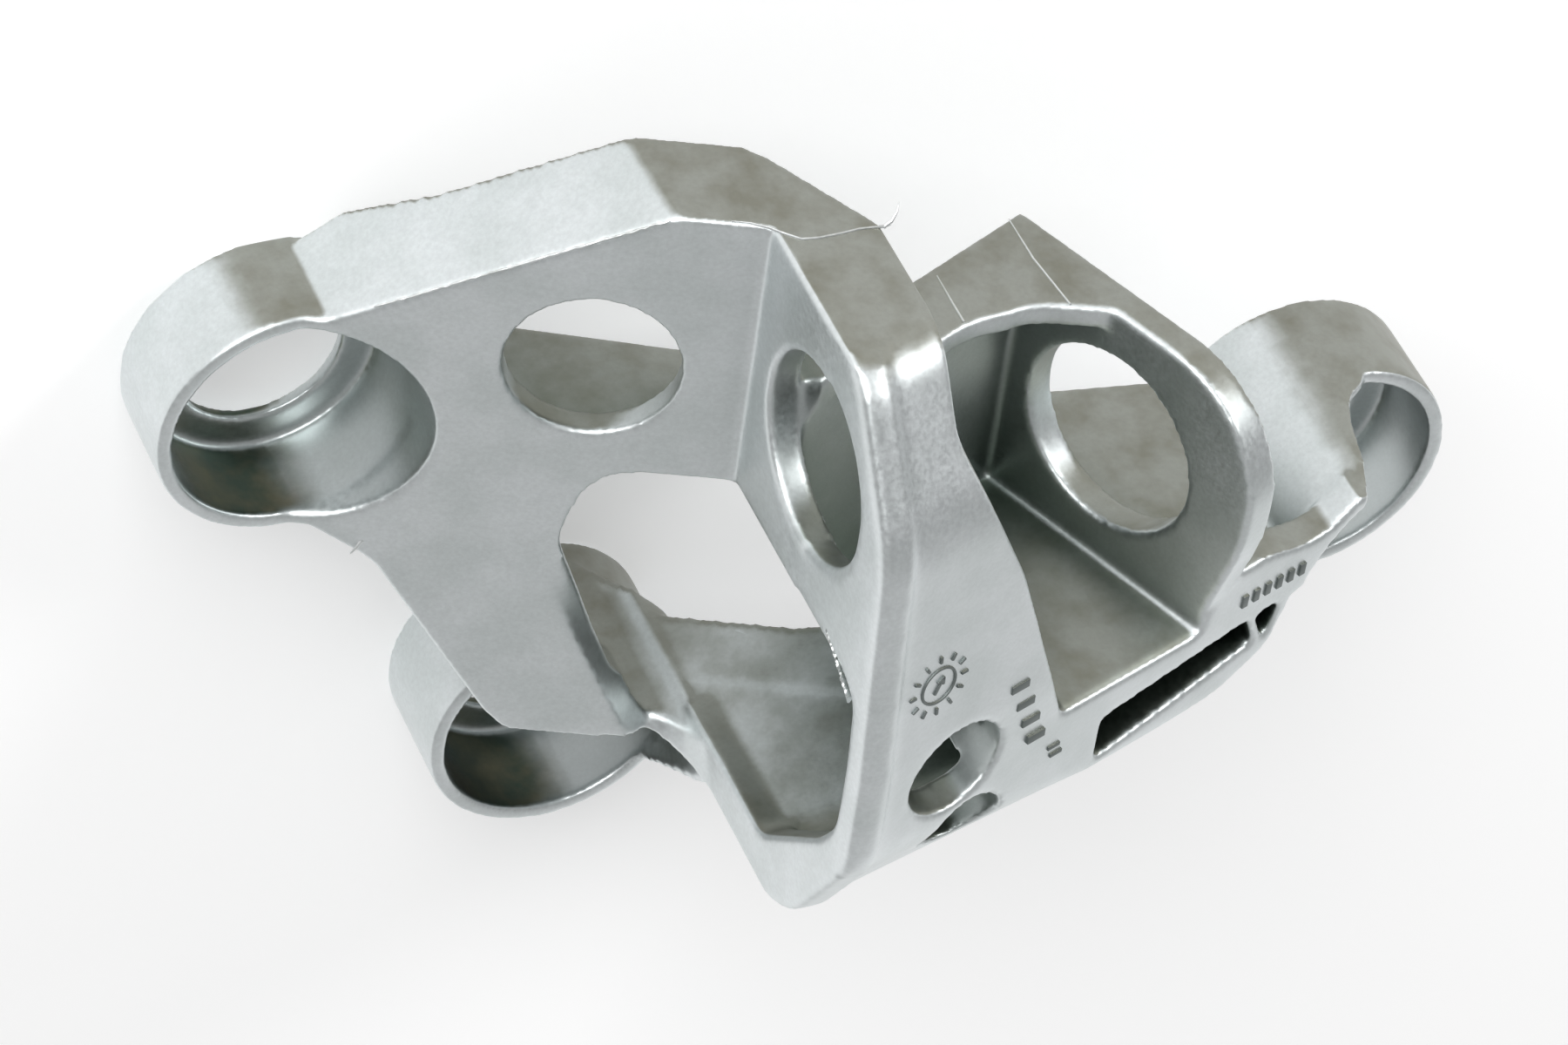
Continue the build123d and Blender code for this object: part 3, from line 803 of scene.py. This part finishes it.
def lay_flat(piece: bpy.types.Object, centre: Triple, face_way: Triple,
             skin: bpy.types.Material) -> bpy.types.Object:
    """Lay a flat piece on a sloping face of the casting.

    Args:
        piece: Piece made flat round the origin.
        centre: Where its middle goes.
        face_way: Direction in which the face looks.
        skin: Its finish.

    Returns:
        The piece in its place.
    """
    up = Vector(face_way).normalized()
    along = Vector((0.0, 1.0, 0.0)).cross(up).normalized()
    piece.rotation_euler = Matrix((along, up.cross(along), up)).transposed().to_euler()
    piece.location = Vector(centre) * MM
    return settle(piece, skin)


@dataclass
class DatePad:
    """Plain dial on the first holder's roof: a ring, twelve ticks and an arrow."""

    centre: Triple = (47.9, -3.1, 59.25)
    face_way: Triple = (0.31, 0.08, 0.95)
    height: float = 0.16
    ring: float = 2.1
    ring_steps: int = 64
    ring_sides: int = 8
    ticks: int = 12
    tick_ring: float = 3.3
    tick_length: float = 0.85
    line_width: float = 0.34
    # The arrow's shaft runs through the middle, and a barb leans back from each side of its tip
    arrow_length: float = 2.1
    arrow_turn: float = 60.0
    barb_turn: float = 150.0
    barb_length: float = 0.95
    barb_width: float = 0.3
    barb_offset: float = 0.45

    def build(self, skins: Skins) -> bpy.types.Object:
        """Build the dial flat, then lay it on the roof.

        Args:
            skins: Finishes of the casting's faces.

        Returns:
            The dial as one piece.
        """
        depth = 2 * self.height
        deselect_all()
        bpy.ops.mesh.primitive_torus_add(
            major_radius=self.ring * MM, minor_radius=self.height * MM,
            major_segments=self.ring_steps, minor_segments=self.ring_sides)
        parts = [bpy.context.object]
        for number in range(self.ticks):
            turn = math.tau * number / self.ticks
            spot = (self.tick_ring * math.cos(turn), self.tick_ring * math.sin(turn))
            parts.append(plain_bar(spot, (self.tick_length, self.line_width, depth), turn))
        shaft_turn = math.radians(self.arrow_turn)
        parts.append(plain_bar((0.0, 0.0), (self.arrow_length, self.line_width, depth), shaft_turn))
        tip = Vector((math.cos(shaft_turn), math.sin(shaft_turn))) * (self.arrow_length / 2)
        for side in (-1, 1):
            turn = math.radians(self.arrow_turn + self.barb_turn * side)
            arm = Vector((math.cos(turn), math.sin(turn))) * self.barb_offset
            parts.append(plain_bar(tuple(tip + arm), (self.barb_length, self.barb_width, depth), turn))
        return lay_flat(join(parts, "dial_mark"), self.centre, self.face_way, skins.mark)


@dataclass(frozen=True)
class BarRow:
    """A row of plain bars: its middle, the way the roof looks there, and its bars.

    The step goes from bar to bar, and bar is the length and width of one, all in the roof's plane.
    """

    centre: Triple
    face_way: Triple
    count: int
    step: tuple[float, float]
    bar: tuple[float, float]


class Tally(Enum):
    """The rows of plain bars, each named for the part of the roof that it is on."""

    HOLDER = BarRow(
        centre=(60.4, -14.0, 55.76), face_way=(0.31, 0.04, 0.95), count=4, step=(1.1, -2.9),
        bar=(2.3, 1.0))
    HOLDER_END = BarRow(
        centre=(65.2, -22.5, 54.2), face_way=(0.31, 0.0, 0.95), count=2, step=(0.5, -1.3),
        bar=(1.6, 0.5))
    BEAM = BarRow(
        centre=(92.6, -16.3, 45.2), face_way=(0.31, 0.0, 0.95), count=6, step=(1.6, 0.0),
        bar=(0.8, 1.6))

    def lay(self, skins: Skins) -> bpy.types.Object:
        """Lay this row of bars.

        Args:
            skins: Finishes of the casting's faces.

        Returns:
            The row as one piece.
        """
        row = self.value
        bars = []
        for number in range(row.count):
            place = number - (row.count - 1) / 2
            bars.append(plain_bar((row.step[0] * place, row.step[1] * place), (*row.bar, BAR_DEPTH), 0.0))
        return lay_flat(join(bars, "tally_" + self.name.lower()), row.centre, row.face_way, skins.mark)


@dataclass(frozen=True)
class BrightPatch:
    """A brighter part of the surroundings.

    It is strongest, by its gain, in the direction of its aim, and fades out where the cosine of
    the angle from there has fallen to fade.
    """

    aim: Triple
    fade: float
    gain: float


class Glow(Enum):
    """Brighter parts of the surroundings: all behind the casting, and one beside its shoulder."""

    BACK = BrightPatch(aim=(0.0, -0.95, 0.3), fade=0.0, gain=0.22)
    SHOULDER = BrightPatch(aim=(0.62, -0.78, 0.05), fade=0.86, gain=0.42)

    def strength(self, tree: bpy.types.NodeTree, way: bpy.types.NodeSocket) -> bpy.types.NodeSocket:
        """Make light that grows toward this patch.

        Args:
            tree: Node tree of the world.
            way: Direction of the ray.

        Returns:
            The strength for the ray's direction, never under zero.
        """
        patch = self.value
        toward = add_node(
            tree, "ShaderNodeVectorMath",
            {"operation": "DOT_PRODUCT", 1: Vector(patch.aim).normalized()}, {0: way})
        return add_node(
            tree, "ShaderNodeMapRange",
            {"interpolation_type": "SMOOTHSTEP", "From Min": patch.fade, "From Max": 1.0,
             "To Min": 0.0, "To Max": patch.gain},
            {"Value": toward.outputs["Value"]}).outputs["Result"]


@dataclass(frozen=True)
class SoftBox:
    """A round soft box: its direction and distance from the casting, width, and power in watts."""

    way: Triple
    distance: float
    width: float
    power: float


class Lamp(Enum):
    """Soft boxes: a small one that draws the highlight along the brow, and a wide main light."""

    BROW = SoftBox(way=(0.57, 0.69, 0.39), distance=900.0, width=290.0, power=2.3)
    KEY = SoftBox(way=(-0.45, 0.85, 0.35), distance=1000.0, width=800.0, power=6.5)

    def hang(self, centre: Vector) -> None:
        """Hang this soft box, aimed at the casting.

        Args:
            centre: Point that the lamp looks at, in metres.
        """
        box = self.value
        way = Vector(box.way).normalized()
        data = bpy.data.lights.new(self.name.lower() + "_lamp", "AREA")
        data.shape = "DISK"
        data.size = box.width * MM
        data.energy = box.power
        lamp = bpy.data.objects.new(data.name, data)
        lamp.location = centre + way * box.distance * MM
        lamp.rotation_euler = way.to_track_quat("Z", "Y").to_euler()
        bpy.context.scene.collection.objects.link(lamp)


@dataclass
class Studio:
    """Plain studio: paper floor, soft lamps and the camera."""

    centre: Triple = (55.0, -15.0, 30.0)
    floor_gap: float = 0.2
    floor_size: float = 6000.0
    # Strength of the light from all round, before the brighter patches
    level: float = 0.34
    light_colour: str = "#ffffff"
    # Place and axes of the photograph's camera, worked out from the bosses and the plate
    camera_place: Triple = (-175.792, 440.826, 428.355)
    camera_right: Triple = (0.916891, 0.109921, 0.383703)
    camera_up: Triple = (0.201084, 0.703206, -0.681958)
    lens: float = 150.0
    sensor: float = 36.0
    clip: tuple[float, float] = (10.0, 50000.0)

    def build(self) -> None:
        """Build the whole studio."""
        self.lay_floor()
        self.set_world()
        for lamp in Lamp:
            lamp.hang(Vector(self.centre) * MM)
        self.place_camera()

    def lay_floor(self) -> None:
        """Lay the paper just under the casting."""
        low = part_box(NODE)[0].z - self.floor_gap * MM
        deselect_all()
        bpy.ops.mesh.primitive_plane_add(
            size=self.floor_size * MM,
            location=(self.centre[0] * MM, self.centre[1] * MM, low))
        floor = bpy.context.object
        floor.name = "studio_floor"
        floor.data.materials.append(StudioPaper().build())

    def set_world(self) -> None:
        """Light from all round, with the brighter patches added."""
        world = bpy.data.worlds.new("soft_studio")
        bpy.context.scene.world = world
        world.use_nodes = True
        tree = world.node_tree
        tree.nodes.clear()
        way = add_node(tree, "ShaderNodeTexCoord").outputs["Generated"]
        back, shoulder = (glow.strength(tree, way) for glow in Glow)
        raised = add_node(tree, "ShaderNodeMath", {"operation": "ADD", 1: self.level}, {0: back})
        total = add_node(
            tree, "ShaderNodeMath", {"operation": "ADD"}, {0: shoulder, 1: raised.outputs[0]})
        background = add_node(
            tree, "ShaderNodeBackground", {"Color": linear(self.light_colour)},
            {"Strength": total.outputs[0]})
        add_node(tree, "ShaderNodeOutputWorld", {}, {"Surface": background.outputs[0]})

    def place_camera(self) -> None:
        """Set the camera at the photograph's angle."""
        right = Vector(self.camera_right)
        up = Vector(self.camera_up)
        back = right.cross(up)
        turn = Matrix((right, up, back)).transposed().to_4x4()
        data = bpy.data.cameras.new("photo_angle")
        data.lens = self.lens
        data.sensor_width = self.sensor
        data.clip_start, data.clip_end = (edge * MM for edge in self.clip)
        camera = bpy.data.objects.new("photo_angle", data)
        camera.matrix_world = Matrix.Translation(Vector(self.camera_place) * MM) @ turn
        bpy.context.scene.collection.objects.link(camera)
        bpy.context.scene.camera = camera


def main() -> None:
    """Build the pieces in order, then the studio."""
    logging.basicConfig(level=logging.INFO, format="%(message)s")
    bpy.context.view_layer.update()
    skins = Skins(
        face=CastAluminium().build(), bore=DrawnAluminium().build(),
        torn=TrimmedAluminium().build(), mark=StampedAluminium().build())
    pieces = [Casting().build(skins)]
    pieces += DieTraces().build(skins)
    pieces.append(DatePad().build(skins))
    pieces += [tally.lay(skins) for tally in Tally]
    for piece in pieces:
        log.info("%s: %d faces", piece.name, len(piece.data.polygons))
    Studio().build()
    bpy.context.scene.view_settings.view_transform = "Standard"


if __name__ == "__main__":
    main()
